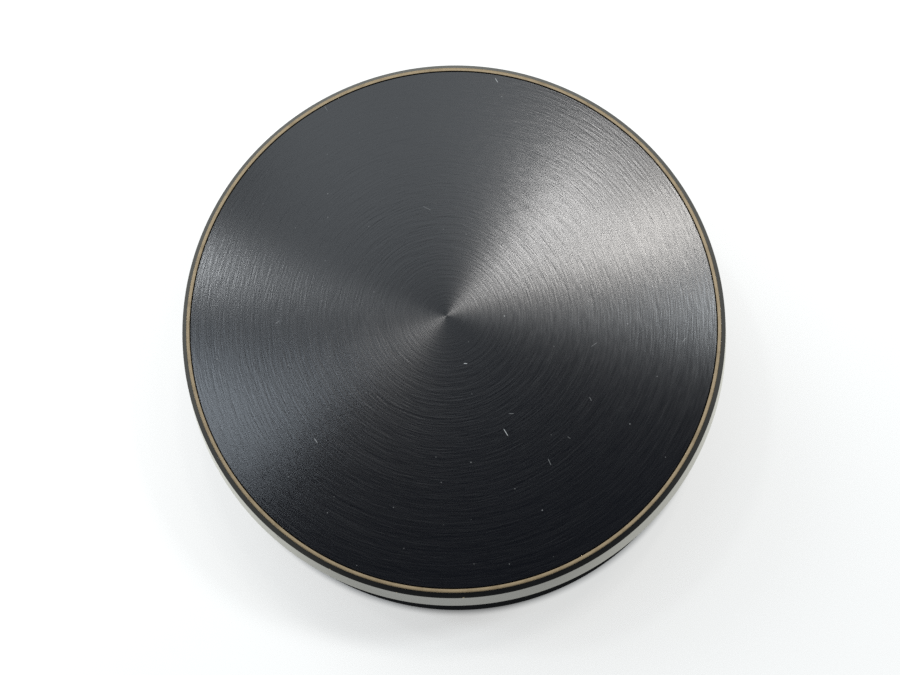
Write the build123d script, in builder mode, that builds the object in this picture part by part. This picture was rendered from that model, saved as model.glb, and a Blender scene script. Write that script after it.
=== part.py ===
from build123d import *
import math
import os

# A record weight: a turned metal puck with an inset spun plate, a gilt hoop and a rubber skirt.
# It drops over the spindle of a record player and holds the record flat on its mat.
# The origin is the middle of the foot, where the skirt stands on the record's label. +Z is up.

os.makedirs("parts", exist_ok=True)

# Overall height, from the foot to the top of the hoop
overall_height = 26.25

# Spun plate
plate_diameter = 72.5
plate_thickness = 1.0
plate_edge_break = 0.1
plate_sink = 0.05           # how far the plate lies below the hoop's top

# Gilt hoop round the plate: a flat land, then the upper part of the lip's bevel
ring_land = 0.32
ring_bevel_width = 0.15
plate_gap = 0.13            # open line between the plate and the hoop
ring_clearance = 0.03       # hoop in its recess

# Turned weight: lower part of the lip's bevel, then the flared wall
bevel_angle = 45.0          # one slope across the hoop and the weight
bevel_width = 0.7
wall_height = 5.55
wall_flare = 1.15           # growth of the wall's radius on its way down
wall_edge_break = 0.15
core_edge_break = 0.8

# Blind bore for the record player's spindle
spindle_diameter = 7.1
spindle_clearance = 0.15    # radial
bore_roof = 4.7             # metal left above the tip of the bore
bore_lead_in = 1.2          # chamfer at the mouth
drill_point_angle = 118.0

# Rubber skirt, stretched over the core of the weight
skirt_thickness = 3.3       # at its top edge
skirt_set_in = 0.43         # how far its top edge stands inside the wall above it
skirt_flare = 1.7           # growth of its radius down to the foot
skirt_clearance = 0.05      # over the core
skirt_gap = 0.3             # open line under the wall
skirt_edge_break = 0.4
foot_thickness = 2.0
foot_land = 14.0            # width of the flange that stands on the label
foot_edge_radius = 0.5

# Radii, worked outwards from the plate
plate_radius = plate_diameter / 2
ring_inner_radius = plate_radius + plate_gap
ring_crest_radius = ring_inner_radius + ring_land
ring_outer_radius = ring_crest_radius + ring_bevel_width
recess_radius = ring_outer_radius + ring_clearance
rim_radius = recess_radius + bevel_width
wall_radius = rim_radius + wall_flare
skirt_top_radius = wall_radius - skirt_set_in
core_radius = skirt_top_radius - skirt_thickness
skirt_inner_radius = core_radius + skirt_clearance
foot_radius = skirt_top_radius + skirt_flare
foot_inner_radius = foot_radius - foot_land
bore_radius = spindle_diameter / 2 + spindle_clearance

# Heights, worked downwards from the top of the hoop
bevel_slope = math.tan(math.radians(bevel_angle))
ring_edge_height = overall_height - ring_bevel_width * bevel_slope
lip_height = ring_edge_height - ring_clearance * bevel_slope
rim_height = lip_height - bevel_width * bevel_slope
wall_bottom = rim_height - wall_height
plate_top = overall_height - plate_sink
recess_floor = plate_top - plate_thickness
skirt_top = wall_bottom - skirt_gap
bore_tip = recess_floor - bore_roof
bore_end = bore_tip - bore_radius / math.tan(math.radians(drill_point_angle / 2))
core_bottom = foot_thickness


# Weight, turned in one piece from bar
with BuildPart() as weight_body:
    with BuildSketch(Plane.XZ):
        with BuildLine():
            Polyline(
                (0, core_bottom),
                (core_radius, core_bottom),
                (core_radius, wall_bottom),
                (wall_radius, wall_bottom),
                (rim_radius, rim_height),
                (recess_radius, lip_height),
                (recess_radius, recess_floor),
                (0, recess_floor),
                close=True,
            )
        make_face()
    revolve(axis=Axis.Z)
    wall_edge = weight_body.edges().filter_by(GeomType.CIRCLE).sort_by(SortBy.RADIUS)[-1]
    chamfer(wall_edge, wall_edge_break)
    core_edge = weight_body.faces().sort_by(Axis.Z)[0].edges()
    chamfer(core_edge, core_edge_break)
    # The bore ends in the cone that a drill leaves, and its mouth is chamfered to find the spindle
    with BuildSketch(Plane.XZ):
        with BuildLine():
            Polyline(
                (0, core_bottom),
                (bore_radius + bore_lead_in, core_bottom),
                (bore_radius, core_bottom + bore_lead_in),
                (bore_radius, bore_end),
                (0, bore_tip),
                close=True,
            )
        make_face()
    revolve(axis=Axis.Z, mode=Mode.SUBTRACT)
weight_body.part.label = "weight_body"
export_step(weight_body.part, "parts/weight_body.step")


# Spun plate, lying on the floor of the recess
with BuildPart() as top_plate:
    with BuildSketch(Plane.XY.offset(recess_floor)):
        Circle(plate_radius)
    extrude(amount=plate_thickness)
    chamfer(top_plate.faces().sort_by(Axis.Z)[-1].edges(), plate_edge_break)
top_plate.part.label = "top_plate"
export_step(top_plate.part, "parts/top_plate.step")


# Gilt hoop between the plate and the lip, with its bevel in line with the weight's
with BuildPart() as trim_ring:
    with BuildSketch(Plane.XZ):
        with BuildLine():
            Polyline(
                (ring_inner_radius, recess_floor),
                (ring_outer_radius, recess_floor),
                (ring_outer_radius, ring_edge_height),
                (ring_crest_radius, overall_height),
                (ring_inner_radius, overall_height),
                close=True,
            )
        make_face()
    revolve(axis=Axis.Z)
trim_ring.part.label = "trim_ring"
export_step(trim_ring.part, "parts/trim_ring.step")


# Rubber skirt: a sleeve round the core that turns in under it as the foot
with BuildPart() as rubber_skirt:
    with BuildSketch(Plane.XZ):
        with BuildLine():
            Polyline(
                (foot_inner_radius, 0),
                (foot_radius, 0),
                (skirt_top_radius, skirt_top),
                (skirt_inner_radius, skirt_top),
                (skirt_inner_radius, foot_thickness),
                (foot_inner_radius, foot_thickness),
                close=True,
            )
        make_face()
    revolve(axis=Axis.Z)
    foot_edge = rubber_skirt.edges().filter_by(GeomType.CIRCLE).sort_by(SortBy.RADIUS)[-1]
    fillet(foot_edge, foot_edge_radius)
    top_edge = rubber_skirt.faces().sort_by(Axis.Z)[-1].edges().sort_by(SortBy.RADIUS)[-1]
    chamfer(top_edge, skirt_edge_break)
rubber_skirt.part.label = "rubber_skirt"
export_step(rubber_skirt.part, "parts/rubber_skirt.step")
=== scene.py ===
import math

import bmesh
import bpy
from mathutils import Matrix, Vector


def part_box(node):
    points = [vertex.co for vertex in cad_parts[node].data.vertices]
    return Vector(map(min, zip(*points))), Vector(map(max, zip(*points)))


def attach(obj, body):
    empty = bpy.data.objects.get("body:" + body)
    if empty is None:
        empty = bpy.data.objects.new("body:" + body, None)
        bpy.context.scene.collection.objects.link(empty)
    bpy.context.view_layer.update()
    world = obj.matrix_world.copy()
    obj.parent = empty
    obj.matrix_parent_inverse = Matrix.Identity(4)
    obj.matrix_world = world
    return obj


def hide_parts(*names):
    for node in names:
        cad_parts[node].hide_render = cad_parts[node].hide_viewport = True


# record weight: a turned black puck with a spun plate on top, a gilt hoop round it and a rubber skirt below
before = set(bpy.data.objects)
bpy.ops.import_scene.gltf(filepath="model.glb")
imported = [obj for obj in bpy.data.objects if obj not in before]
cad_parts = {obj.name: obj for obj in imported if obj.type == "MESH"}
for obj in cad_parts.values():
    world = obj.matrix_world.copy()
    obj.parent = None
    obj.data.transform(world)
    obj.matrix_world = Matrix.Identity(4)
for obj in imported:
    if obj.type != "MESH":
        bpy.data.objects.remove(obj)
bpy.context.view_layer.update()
mm = 0.001
scene = bpy.context.scene
scene.view_settings.view_transform = "Standard"
scene.cycles.use_denoising = False  # it wipes away the plate's grain
print("frame loaded:", ", ".join(sorted(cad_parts)))


class Value:  # a socket that maths can be written with
    def __init__(self, graph, socket):
        self.graph = graph
        self.socket = socket

    def maths(self, operation, *others):
        return self.graph.add("ShaderNodeMath", {"operation": operation}, [self, *others])

    def __add__(self, other):
        return self.maths("ADD", other)

    def __sub__(self, other):
        return self.maths("SUBTRACT", other)

    def __rsub__(self, other):
        return self.graph.add("ShaderNodeMath", {"operation": "SUBTRACT"}, [other, self])

    def __mul__(self, other):
        return self.maths("MULTIPLY", other)

    def __pow__(self, other):
        return self.maths("POWER", other)

    def __abs__(self):
        return self.maths("ABSOLUTE")

    __radd__ = __add__
    __rmul__ = __mul__

    def fade(self, start, end):  # 0 at start, 1 at end, soft between
        return self.graph.add("ShaderNodeMapRange", {"interpolation_type": "SMOOTHSTEP"},
                              {"Value": self, "From Min": start, "From Max": end})

    def swing(self, amount):  # a noise about its mean
        return (self - 0.5) * amount


class Graph:  # a node tree
    def __init__(self, tree):
        self.tree = tree

    def add(self, kind, settings=None, sockets=None, output=0):
        node = self.tree.nodes.new(kind)
        for key, setting in (settings or {}).items():
            setattr(node, key, setting)
        sockets = sockets or {}
        for key, value in sockets.items() if isinstance(sockets, dict) else enumerate(sockets):
            self.feed(node.inputs[key], value)
        return Value(self, node.outputs[output])

    def feed(self, target, value):
        if isinstance(value, Value):
            self.tree.links.new(value.socket, target)
        else:
            target.default_value = value

    def parts(self, vector):
        return [self.add("ShaderNodeSeparateXYZ", {}, [vector], output=axis) for axis in range(3)]

    def mix(self, share, first, second):  # two colours
        return self.add("ShaderNodeMix", {"data_type": "RGBA"}, {0: share, 6: first, 7: second}, output=2)


class Finish(Graph):  # a material, with the patterns that the pieces share
    def __init__(self, name):
        self.material = bpy.data.materials.new(name)
        self.material.use_nodes = True
        super().__init__(self.material.node_tree)
        self.shader = next(node for node in self.tree.nodes if node.type == "BSDF_PRINCIPLED")

    def surface(self, sockets):
        for key, value in sockets.items():
            self.feed(self.shader.inputs[key], value)
        return self.material

    def spot(self, centre=(0, 0, 0)):  # millimetres from a centre on the piece
        coords = self.add("ShaderNodeTexCoord", output="Object")
        return self.add("ShaderNodeMapping", {}, {
            "Vector": coords, "Location": [-c for c in centre], "Scale": (1 / mm, 1 / mm, 1 / mm)})

    def noise(self, vector, scale, detail, roughness):
        return self.add("ShaderNodeTexNoise", {}, {
            "Vector": vector, "Scale": scale, "Detail": detail, "Roughness": roughness})

    def vector(self, x, y, z):
        return self.add("ShaderNodeCombineXYZ", {}, [x, y, z])

    def rings(self, x, y, reach, along, across, detail, roughness):  # fine lines that run round the axis
        return self.noise(self.vector(x * along, y * along, reach * across), 1.0, detail, roughness)

    def patch(self, x, y, z, radius):  # a round spot, soft from half its radius
        side = self.spot((x, y, z))
        near = self.add("ShaderNodeVectorMath", {"operation": "LENGTH"}, [side], output="Value")
        return 1 - near.fade(radius * 0.5, radius)

    def bump(self, height, depth):
        return self.add("ShaderNodeBump", {}, {"Height": height, "Distance": depth, "Strength": 1.0})


def grey(level):
    return (level, level, level, 1)


def fromAxis(x, y):
    return (x * x + y * y) ** 0.5


# how every piece is turned, with lengths in millimetres
turning = {
    "steps": 288,
    "merge": 0.001,
    "near": 0.003,  # a corner's edges are looked for within this
    "roundingSteps": 4,
}


def turnedPiece(name, outline, material, node, even=True):
    # outline gives each corner's radius, height and rounding in millimetres
    bm = bmesh.new()
    corners = [bm.verts.new((radius, 0, height)) for radius, height, rounding in outline]
    onAxis = outline[0][0] == 0  # such an outline also ends on the axis, and any other is a loop
    ends = corners[1:] if onAxis else corners[1:] + corners[:1]
    lines = [bm.edges.new(pair) for pair in zip(corners, ends)]
    bmesh.ops.spin(bm, geom=corners + lines, cent=(0, 0, 0), axis=(0, 0, 1), angle=math.tau,
                   steps=turning["steps"], use_merge=True)
    bmesh.ops.remove_doubles(bm, verts=bm.verts[:], dist=turning["merge"])
    bmesh.ops.recalc_face_normals(bm, faces=bm.faces[:])
    for radius, height, rounding in outline:
        if rounding:
            ring = [edge for edge in bm.edges if all(
                abs(math.hypot(v.co.x, v.co.y) - radius) < turning["near"]
                and abs(v.co.z - height) < turning["near"] for v in edge.verts)]
            bmesh.ops.bevel(bm, geom=ring, offset=rounding, offset_type="OFFSET", affect="EDGES",
                            segments=turning["roundingSteps"], profile=0.5, material=-1)
    bmesh.ops.scale(bm, vec=(mm, mm, mm), verts=bm.verts[:])
    for face in bm.faces:
        face.smooth = True
    mesh = bpy.data.meshes.new(name)
    bm.to_mesh(mesh)
    bm.free()
    mesh.materials.append(material)
    piece = bpy.data.objects.new(name, mesh)
    scene.collection.objects.link(piece)
    if even:
        piece.modifiers.new("evenShading", "WEIGHTED_NORMAL").keep_sharp = True
    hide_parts(node)
    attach(piece, "root")
    print("turned:", name, len(mesh.polygons), "faces")
    return piece


def span(node):  # a node's outer radius, foot and top in millimetres
    low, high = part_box(node)
    return high.x / mm, low.z / mm, high.z / mm


# the black spun plate
# sizes are in millimetres; a pattern, here and below, has scale, detail and roughness,
# and its From says where it starts to show and where it shows fully
spunPlate = {
    "edge": 0.04,  # break of the upper edge
    "sharpOver": 20,  # degrees
    "spinCentre": (-0.73, 0.51, 0),  # the spinning was a little off the plate's middle
    "colour": (0.0003, 0.0010, 0.0033, 1),
    "fadedColour": (0.0007, 0.0015, 0.0041, 1),
    "faded": (0.05, 3.0, 0.55),
    "fadedFrom": (0.35, 0.7),
    "roughness": 0.199,
    "spread": 0.735,  # how much wider the gloss is across the grooves than along them
    "spreadTurn": 0.25,  # a quarter turn, because the grooves run round
    "refraction": 1.6,
    "ticks": (0.33, 3.4, 1.0, 0.6),  # short lines of the grain: scale along and across, detail, roughness
    "tickShare": 0.3,
    "tickRoughness": 0.03,
    "strands": (0.05, 3.8, 1.0, 0.6),  # long ones
    "strandShare": 0.3,
    "strandRoughness": 0.04,
    "strandDepth": 0.4,  # share of the ticks' depth
    "grooveDepth": 1.15e-5,  # metres
    "middleDepth": 0.35,  # the grain is shallow round the middle
    "middleFrom": (2.0, 14.0),
    "lineColour": (0.0020, 0.0028, 0.0053, 1),
    "lineShare": 0.2,
    "speckScale": 0.2,  # cells to a millimetre
    "speckSize": 0.008,  # in cells, as its edge
    "speckEdge": (0.003, 0.016),
    "speckChance": (0.5, 0.55),
    "speckLeast": 0.06,
    "speckMore": 0.3,
    "markColour": (0.50, 0.50, 0.49, 1),  # of specks and hairs
    "markRoughness": 0.4,
    "hairEnds": (0.35, 0.6),  # shares of its length where a hair fades, and of its width
    "hairSides": (0.15, 0.6),
    "hairs": [  # across and along from the spin centre, lean, length, width, strength
        (8.01, -16.16, -59, 1.05, 0.085, 1.0),
        (8.76, -13.60, 0, 0.65, 0.085, 0.3),
        (13.83, -20.14, -66, 0.9, 0.085, 0.32),
        (16.52, -16.90, -36, 0.45, 0.085, 0.2),
        (19.51, -11.64, -62, 0.55, 0.085, 0.26),
        (20.18, -4.15, 36, 1.0, 0.08, 0.18),
        (32.45, -3.57, 48, 0.7, 0.085, 0.26),
        (-23.39, -0.75, 30, 0.65, 0.08, 0.24),
        (-17.73, -17.19, -55, 0.65, 0.085, 0.72),
        (-2.79, 15.43, -28, 1.2, 0.08, 0.23),
        (3.73, 12.23, -28, 3.8, 0.08, 0.08),
        (7.11, 34.36, -61, 0.7, 0.09, 1.0),
        (-17.29, 30.42, -60, 0.8, 0.08, 0.26),
        (2.58, -6.69, -4, 0.45, 0.10, 1.0),
    ],
}


def hair(x, y, across, along, lean, length, width):  # a short scratch, lying at a lean in degrees
    turn = math.radians(lean)
    sideX = x - across
    sideY = y - along
    far = abs(sideX * math.cos(turn) + sideY * math.sin(turn))
    off = abs(sideY * math.cos(turn) - sideX * math.sin(turn))
    ends = [length * share for share in spunPlate["hairEnds"]]
    sides = [width * share for share in spunPlate["hairSides"]]
    return (1 - far.fade(*ends)) * (1 - off.fade(*sides))


def spunBlack():
    look = spunPlate
    finish = Finish("spunBlack")
    x, y = finish.parts(finish.spot(look["spinCentre"]))[:2]
    flat = finish.vector(x, y, 0.0)
    reach = fromAxis(x, y)
    ticks = finish.rings(x, y, reach, *look["ticks"])
    strands = finish.rings(x, y, reach, *look["strands"])
    lines = ticks.swing(look["tickShare"]) + strands.swing(look["strandShare"]) + look["lineShare"]
    calm = look["middleDepth"] + (1 - look["middleDepth"]) * reach.fade(*look["middleFrom"])
    faded = finish.noise(flat, *look["faded"]).fade(*look["fadedFrom"])
    cells = {"voronoi_dimensions": "2D", "feature": "F1"}
    cellSockets = {"Vector": flat, "Scale": look["speckScale"], "Randomness": 1.0}
    near = finish.add("ShaderNodeTexVoronoi", cells, cellSockets, output="Distance")
    pick = finish.add("ShaderNodeTexVoronoi", cells, cellSockets, output="Color")
    chance, size, tone = finish.parts(pick)
    dots = 1 - (near - size * look["speckSize"]).fade(*look["speckEdge"])
    marks = dots * chance.fade(*look["speckChance"]) * (look["speckLeast"] + look["speckMore"] * tone)
    for *place, strength in look["hairs"]:
        marks = marks.maths("MAXIMUM", hair(x, y, *place) * strength)
    dye = finish.mix(faded, look["colour"], look["fadedColour"])
    grained = look["roughness"] + ticks.swing(look["tickRoughness"]) + strands.swing(look["strandRoughness"])
    return finish.surface({
        "Base Color": finish.mix(marks, finish.mix(lines, dye, look["lineColour"]), look["markColour"]),
        "Roughness": grained + marks * look["markRoughness"],
        "Anisotropic": look["spread"],
        "Anisotropic Rotation": look["spreadTurn"],
        "IOR": look["refraction"],
        "Normal": finish.bump((ticks + strands * look["strandDepth"]) * calm, look["grooveDepth"]),
    })


plateRadius, plateFoot, plateTop = span("top_plate")
plate = turnedPiece("spunPlate", [
    (0, plateFoot, 0),
    (plateRadius, plateFoot, 0),
    (plateRadius, plateTop - spunPlate["edge"], 0),
    (plateRadius - spunPlate["edge"], plateTop, 0),
    (0, plateTop, 0),
], spunBlack(), "top_plate", even=False)
plate.data.set_sharp_from_angle(angle=math.radians(spunPlate["sharpOver"]))
plate.data.use_auto_texspace = False  # the gloss turns about this space's middle
plate.data.texspace_location = [c * mm for c in spunPlate["spinCentre"]]
plate.data.texspace_size = (plateRadius * mm, plateRadius * mm, mm)


# the gilt hoop
giltHoop = {
    "width": 0.47,
    "land": 0.40,
    "rounding": 0.03,
    "colour": (0.335, 0.256, 0.155, 1),
    "dullColour": (0.255, 0.188, 0.106, 1),
    "tarnish": (0.6, 3.0, 0.6),
    "dullFrom": (0.45, 0.8),
    "dullShare": 0.6,
    "roughness": 0.62,
    "roughFrom": (0.4, 0.8),
    "roughShare": 0.08,
    "toolLines": (0.05, 9.0, 2.0, 0.6),  # as the plate's ticks
    "lineRoughness": 0.12,
    "lineDepth": 1.2e-6,  # metres
    "coat": 0.4,
    "coatRoughness": 0.35,
}


def gilt():
    look = giltHoop
    finish = Finish("giltHoop")
    spot = finish.spot()
    x, y, z = finish.parts(spot)
    lines = finish.rings(x, y, fromAxis(x, y) - z, *look["toolLines"])  # on the land, the bevel and the sides
    tarnish = finish.noise(spot, *look["tarnish"])
    dull = tarnish.fade(*look["dullFrom"]) * look["dullShare"]
    rough = tarnish.fade(*look["roughFrom"]) * look["roughShare"]
    return finish.surface({
        "Base Color": finish.mix(dull, look["colour"], look["dullColour"]),
        "Metallic": 1.0,
        "Roughness": look["roughness"] + lines.swing(look["lineRoughness"]) + rough,
        "Coat Weight": look["coat"],
        "Coat Roughness": look["coatRoughness"],
        "Normal": finish.bump(lines, look["lineDepth"]),
    })


hoopRadius, hoopFoot, hoopTop = span("trim_ring")
hoopInner = hoopRadius - giltHoop["width"]
hoopCrest = hoopInner + giltHoop["land"]
turnedPiece("giltHoop", [
    (hoopInner, hoopFoot, 0),
    (hoopRadius, hoopFoot, 0),
    (hoopRadius, hoopTop - (hoopRadius - hoopCrest), giltHoop["rounding"]),
    (hoopCrest, hoopTop, giltHoop["rounding"]),
    (hoopInner, hoopTop, giltHoop["rounding"]),
], gilt(), "trim_ring")


# the turned weight and its gloss enamel
enamelWeight = {
    "recess": 36.88,  # radius of the seat of the plate and the hoop
    "rim": 37.58,
    "wall": 38.73,  # radius at its foot
    "wallFoot": 19.82,
    "core": 35.0,
    "coreEdge": 0.8,
    "bore": 3.7,
    "boreEnd": 18.277,
    "boreTip": 20.5,
    "leadIn": 1.2,
    "lipRounding": 0.03,
    "rimRounding": 0.02,
    "wallRounding": 0.15,
    "coreRounding": 0.1,
    "colour": (0.0025, 0.0025, 0.0028, 1),
    "roughness": 0.09,
    "refraction": 1.45,
    "peel": (1.1, 2.0, 0.5),
    "peelDepth": 0.0004,
    "hazeColour": grey(0.014),
    "hazeShare": 0.3,
    "hazeRoughness": 0.06,
    "dust": (5.0, 3.0, 0.7),
    "dustFrom": (0.55, 0.8),
    "dustShare": 0.35,
    "rubbed": (0.35, 3.0, 0.5),
    "rubbedFrom": (0.4, 0.75),
    "rubbedShare": 0.4,
    "bareMetal": (0.62, 0.52, 0.34, 1),
    "bareRoughness": 0.3,
    "chips": (1.7, 2.0, 0.5),  # worn through along the rim
    "chipsFrom": (0.70, 0.76),
    "chipReach": (0.05, 0.14),  # from the rim
    "nick": (1.5, -37.58, 25.37, 0.2),  # place and size of a bare spot on the rim
    "dent": (-23.6, -29.6, 24.6, 0.34),
    "dentDepth": 0.12,
    "dentRoughness": 0.2,
}


def blackEnamel(rimHeight):
    look = enamelWeight
    finish = Finish("blackEnamel")
    spot = finish.spot()
    x, y, z = finish.parts(spot)
    peel = finish.noise(spot, *look["peel"])
    dust = finish.noise(spot, *look["dust"]).fade(*look["dustFrom"])
    rubbed = finish.noise(spot, *look["rubbed"]).fade(*look["rubbedFrom"])
    haze = dust * look["dustShare"] + rubbed * look["rubbedShare"]
    hazed = finish.mix(haze * look["hazeShare"], look["colour"], look["hazeColour"])
    toRim = ((fromAxis(x, y) - look["rim"]) ** 2 + (z - rimHeight) ** 2) ** 0.5
    chips = (1 - toRim.fade(*look["chipReach"])) * finish.noise(spot, *look["chips"]).fade(*look["chipsFrom"])
    bare = chips.maths("MAXIMUM", finish.patch(*look["nick"]))
    dent = finish.patch(*look["dent"])
    handled = look["roughness"] + haze * look["hazeRoughness"]
    return finish.surface({
        "Base Color": finish.mix(bare, hazed, look["bareMetal"]),
        "Metallic": bare,
        "Roughness": handled + bare * look["bareRoughness"] + dent * look["dentRoughness"],
        "IOR": look["refraction"],
        "Normal": finish.bump(peel * look["peelDepth"] - dent * look["dentDepth"], mm),
    })


w = enamelWeight
weightFoot, lipTop = span("weight_body")[1:]
rimHeight = lipTop - (w["rim"] - w["recess"])
turnedPiece("enamelWeight", [
    (0, w["boreTip"], 0),
    (w["bore"], w["boreEnd"], 0),
    (w["bore"], weightFoot + w["leadIn"], 0),
    (w["bore"] + w["leadIn"], weightFoot, w["coreRounding"]),
    (w["core"] - w["coreEdge"], weightFoot, w["coreRounding"]),
    (w["core"], weightFoot + w["coreEdge"], w["coreRounding"]),
    (w["core"], w["wallFoot"], 0),
    (w["wall"], w["wallFoot"], w["wallRounding"]),
    (w["rim"], rimHeight, w["rimRounding"]),
    (w["recess"], lipTop, w["lipRounding"]),
    (w["recess"], hoopFoot, 0),
    (0, hoopFoot, 0),
], blackEnamel(rimHeight), "weight_body")


# the rubber skirt
rubberSkirt = {
    "foot": 40.0,  # outer radius where it stands
    "land": 14.0,
    "thickness": 2.0,  # under the weight
    "inner": 35.05,
    "topRadius": 38.3,
    "footRounding": 0.5,
    "landRounding": 0.2,
    "topRounding": 0.4,
    "colour": (0.022, 0.0225, 0.0240, 1),
    "roughness": 0.86,
    "specular": 0.0,
    "grain": (4.5, 3.0, 0.6),
    "grainRoughness": 0.12,
    "grainDepth": 1.6e-5,  # metres
    "dustColour": (0.085, 0.083, 0.080, 1),
    "dustyTo": 7.0,  # dust lies on the lowest millimetres
    "dustFrom": (0.35, 0.7),
    "dustShare": 0.22,
    "specks": (2.2, 3.0, 0.7),
    "specksFrom": (0.60, 0.72),
    "speckShare": 0.25,
    "bloom": (0.11, 2.0, 0.5),
    "bloomFrom": (0.4, 0.7),
    "bloomShare": 0.13,
}


def blackRubber():
    look = rubberSkirt
    finish = Finish("blackRubber")
    spot = finish.spot()
    z = finish.parts(spot)[2]
    grain = finish.noise(spot, *look["grain"])
    bloom = finish.noise(spot, *look["bloom"]).fade(*look["bloomFrom"])
    specks = finish.noise(spot, *look["specks"]).fade(*look["specksFrom"])
    foot = 1 - z.fade(0.0, look["dustyTo"])
    settled = foot * grain.fade(*look["dustFrom"]) * look["dustShare"]
    dust = settled + specks * look["speckShare"] + bloom * grain * look["bloomShare"]
    return finish.surface({
        "Base Color": finish.mix(dust, look["colour"], look["dustColour"]),
        "Roughness": look["roughness"] + grain.swing(look["grainRoughness"]),
        "Specular IOR Level": look["specular"],
        "Normal": finish.bump(grain, look["grainDepth"]),
    })


s = rubberSkirt
skirtFoot, skirtTop = span("rubber_skirt")[1:]
turnedPiece("rubberSkirt", [
    (s["foot"] - s["land"], skirtFoot, s["landRounding"]),
    (s["foot"], skirtFoot, s["footRounding"]),
    (s["topRadius"], skirtTop, s["topRounding"]),
    (s["inner"], skirtTop, 0),
    (s["inner"], skirtFoot + s["thickness"], 0),
    (s["foot"] - s["land"], skirtFoot + s["thickness"], s["landRounding"]),
], blackRubber(), "rubber_skirt")


# the pale floor, in metres; its glow carries painted shade round the part, a painted contact shadow, painted
# shade and a painted dark screen in its reflections, and a painted reflection colour
paleFloor = {
    "radius": 2.5,
    "segments": 96,
    "drop": 0.00003,  # just clear of the foot
    "colour": (0.50, 0.496, 0.485, 1),
    "roughness": 0.85,
    "specular": 0.1,
    "glow": (0.80, 0.794, 0.778, 1),
    "paintedReflectionGlow": (0.80, 0.79, 0.67, 1),  # as the gloss shows it: a painted reflection colour, warmer than the floor seen straight on
    "paintedNearShadeGlow": 0.775,  # share of it round the part: painted shade round the part
    "away": (0.1, 0.9),  # paler towards the backdrop, where the painted shade fades out
    "paintedContactShadowFrom": (0.0396, 0.0411),  # painted contact shadow: the glow dies where the part stands
    # share of the glow left in the painted contact shadow
    "paintedContactShadowGlow": 0.1,
    "dimSide": -68,  # degrees from +X to the side that the light doesn't come from
    # painted shade towards the dim side
    "paintedSideShade": 0.2,
    "paintedSideShadeFrom": (-0.03, 0.06),
    "paintedReflectionShade": 0.32,
    "paintedReflectionShadeFrom": (0.034, 0.046),  # towards -Y: painted shade in the floor as the gloss shows it
    "paintedDarkScreen": (0.10, 0.42),  # a painted dark screen on the dim side: the floor's glow is cut there, seen in the gloss alone
}
bm = bmesh.new()
bmesh.ops.create_circle(bm, cap_ends=True, radius=paleFloor["radius"], segments=paleFloor["segments"])
bmesh.ops.translate(bm, vec=(0, 0, -paleFloor["drop"]), verts=bm.verts[:])
floorMesh = bpy.data.meshes.new("paleFloor")
bm.to_mesh(floorMesh)
bm.free()
paper = Finish("paleFloor")
rayNames = ("Is Camera Ray", "Is Glossy Ray", "Is Transmission Ray")
fromCamera, fromGloss, fromGlass = [paper.add("ShaderNodeLightPath", output=ray) for ray in rayNames]
mirrored = (fromGloss + fromGlass).maths("MINIMUM", 1.0)
floorX, floorY = paper.parts(paper.add("ShaderNodeTexCoord", output="Object"))[:2]
floorReach = fromAxis(floorX, floorY)
dimTurn = math.radians(paleFloor["dimSide"])
dimSide = Vector((math.cos(dimTurn), math.sin(dimTurn)))
toDim = floorX * dimSide.x + floorY * dimSide.y
# painted shade: the floor's glow is lower round the part, and lower again towards the dim side
glowUnderPaintedShade = paleFloor["paintedNearShadeGlow"] * (1 - paleFloor["paintedSideShade"] * toDim.fade(*paleFloor["paintedSideShadeFrom"]))
# painted contact shadow: the floor's glow is cut round the foot
clear = paleFloor["paintedContactShadowGlow"] + (1 - paleFloor["paintedContactShadowGlow"]) * floorReach.fade(*paleFloor["paintedContactShadowFrom"])
# the glow left under the painted shades
lit = glowUnderPaintedShade * clear
straightOn = fromCamera * (lit + (1 - lit) * floorReach.fade(*paleFloor["away"]))
# painted shade in reflections: the glow that the gloss sees is lower towards -Y near the part
glowUnderPaintedReflectionShade = 1 - paleFloor["paintedReflectionShade"] * (0 - floorY).fade(*paleFloor["paintedReflectionShadeFrom"])
# the glow the gloss sees, under the painted shades and the painted dark screen
inGloss = mirrored * lit * glowUnderPaintedReflectionShade * (1 - toDim.fade(*paleFloor["paintedDarkScreen"]))
seen = paper.mix(straightOn, grey(0), paleFloor["glow"])
floorMesh.materials.append(paper.surface({
    "Base Color": paleFloor["colour"],
    "Roughness": paleFloor["roughness"],
    "Specular IOR Level": paleFloor["specular"],
    # the floor glows for the camera and, in a warmer painted reflection colour, for the gloss
    "Emission Color": paper.mix(inGloss, seen, paleFloor["paintedReflectionGlow"]),
    "Emission Strength": 1.0,
}))
paper.material.cycles.emission_sampling = "NONE"  # it lights no matt surface, so no rays are sent to it
floor = bpy.data.objects.new("paleFloor", floorMesh)
scene.collection.objects.link(floor)
print("floor laid")

# the backdrop and the sky that the gloss shows
studioSky = {
    "backdrop": grey(0.93),
    "tint": (0.86, 0.94, 1, 1),
    "horizon": 0.8,
    "dimSide": 0.10,  # a dark screen stands on the floor's dim side
    "screenFrom": (0.2, 0.9),
    "screenTop": (0.06, 0.3),
    "steepness": 2.0,
    "fill": 0.28,  # even light on matt surfaces
}
scene.world = bpy.data.worlds.new("studio")
scene.world.use_nodes = True
scene.world.cycles.sampling_method = "NONE"  # dim and even, so the rays go to the lamps
sky = Graph(scene.world.node_tree)
straight, matt = [sky.add("ShaderNodeLightPath", output=ray) for ray in ("Is Camera Ray", "Is Diffuse Ray")]
skyX, skyY, skyZ = sky.parts(sky.add("ShaderNodeTexCoord", output="Generated"))
low = (1 - skyZ.maths("MAXIMUM", 0.0)) ** studioSky["steepness"]
skyToDim = skyX * dimSide.x + skyY * dimSide.y
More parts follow.
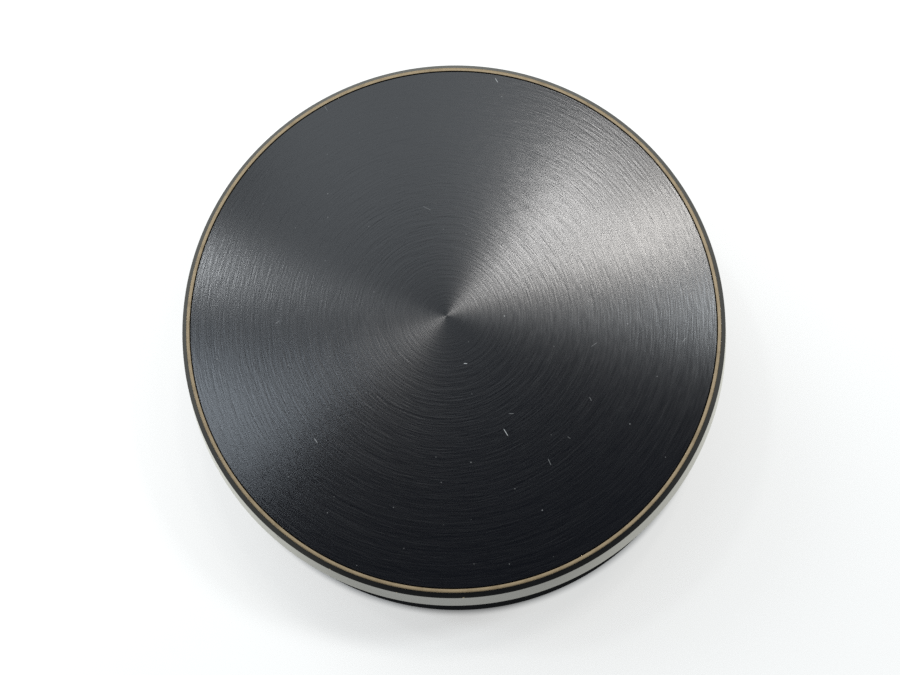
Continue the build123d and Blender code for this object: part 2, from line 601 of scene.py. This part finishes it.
screen = skyToDim.fade(*studioSky["screenFrom"]) * (1 - skyZ.fade(*studioSky["screenTop"]))
gloss = (studioSky["horizon"] + (studioSky["dimSide"] - studioSky["horizon"]) * screen) * low
background = next(node for node in sky.tree.nodes if node.type == "BACKGROUND")
sky.feed(background.inputs["Color"], sky.mix(straight, studioSky["tint"], studioSky["backdrop"]))
sky.feed(background.inputs["Strength"], straight + matt * studioSky["fill"] + (1 - straight - matt) * gloss)
print("backdrop set")

lampTarget = Vector((0, 0, plateTop * mm))
lamps = [  # name, azimuth from +X, angle from overhead, distance, width, height, watts, colour
    ("window", 55.6, 20.4, 0.7, 0.058, 0.050, 0.38, (1, 0.97, 0.93)),
    ("windowTop", 75.4, 17.8, 0.7, 0.040, 0.061, 0.345, (1, 0.98, 0.96)),
    ("windowSide", 21.6, 31.0, 0.7, 0.08, 0.08, 1.22, (0.92, 0.97, 1)),
    ("windowLow", 32.5, 24.5, 0.7, 0.04, 0.08, 0.25, (0.88, 0.95, 1)),
    ("far", 101.5, 26.4, 0.7, 0.27, 0.32, 0.48, (0.88, 0.95, 1)),
    ("leftTop", 143.8, 26.9, 0.7, 0.04, 0.05, 0.32, (0.93, 0.97, 1)),
    ("left", 163.1, 32.3, 0.7, 0.063, 0.50, 0.84, (0.80, 0.90, 1)),
    ("soft", 138, 55, 0.8, 0.6, 0.5, 2.2, (0.88, 0.95, 1)),
]
for name, azimuth, zenith, distance, width, height, watts, colour in lamps:
    lamp = bpy.data.lights.new(name, "AREA")
    lamp.shape = "RECTANGLE"
    lamp.size = width
    lamp.size_y = height
    lamp.energy = watts
    lamp.color = colour
    holder = bpy.data.objects.new(name, lamp)
    scene.collection.objects.link(holder)
    turn, lean = math.radians(azimuth), math.radians(zenith)
    outwards = Vector((math.sin(lean) * math.cos(turn), math.sin(lean) * math.sin(turn), math.cos(lean)))
    holder.location = lampTarget + outwards * distance
    holder.rotation_euler = (-outwards).to_track_quat("-Z", "Y").to_euler()
print("lit by", len(lamps), "lamps")

cameraLook = {
    "place": (4.665, -33.491, 187.981),  # millimetres, as the lens and the sensor
    "turn": (10.823, 1.747, 0),  # degrees
    "lens": 48,
    "sensor": 36,
    "clipStart": 0.005,  # metres
}
cameraData = bpy.data.cameras.new("camera")
cameraData.sensor_width = cameraLook["sensor"]
cameraData.lens = cameraLook["lens"]
cameraData.clip_start = cameraLook["clipStart"]
camera = bpy.data.objects.new("camera", cameraData)
camera.location = [c * mm for c in cameraLook["place"]]
camera.rotation_euler = [math.radians(a) for a in cameraLook["turn"]]
scene.collection.objects.link(camera)
scene.camera = camera
print("camera set")
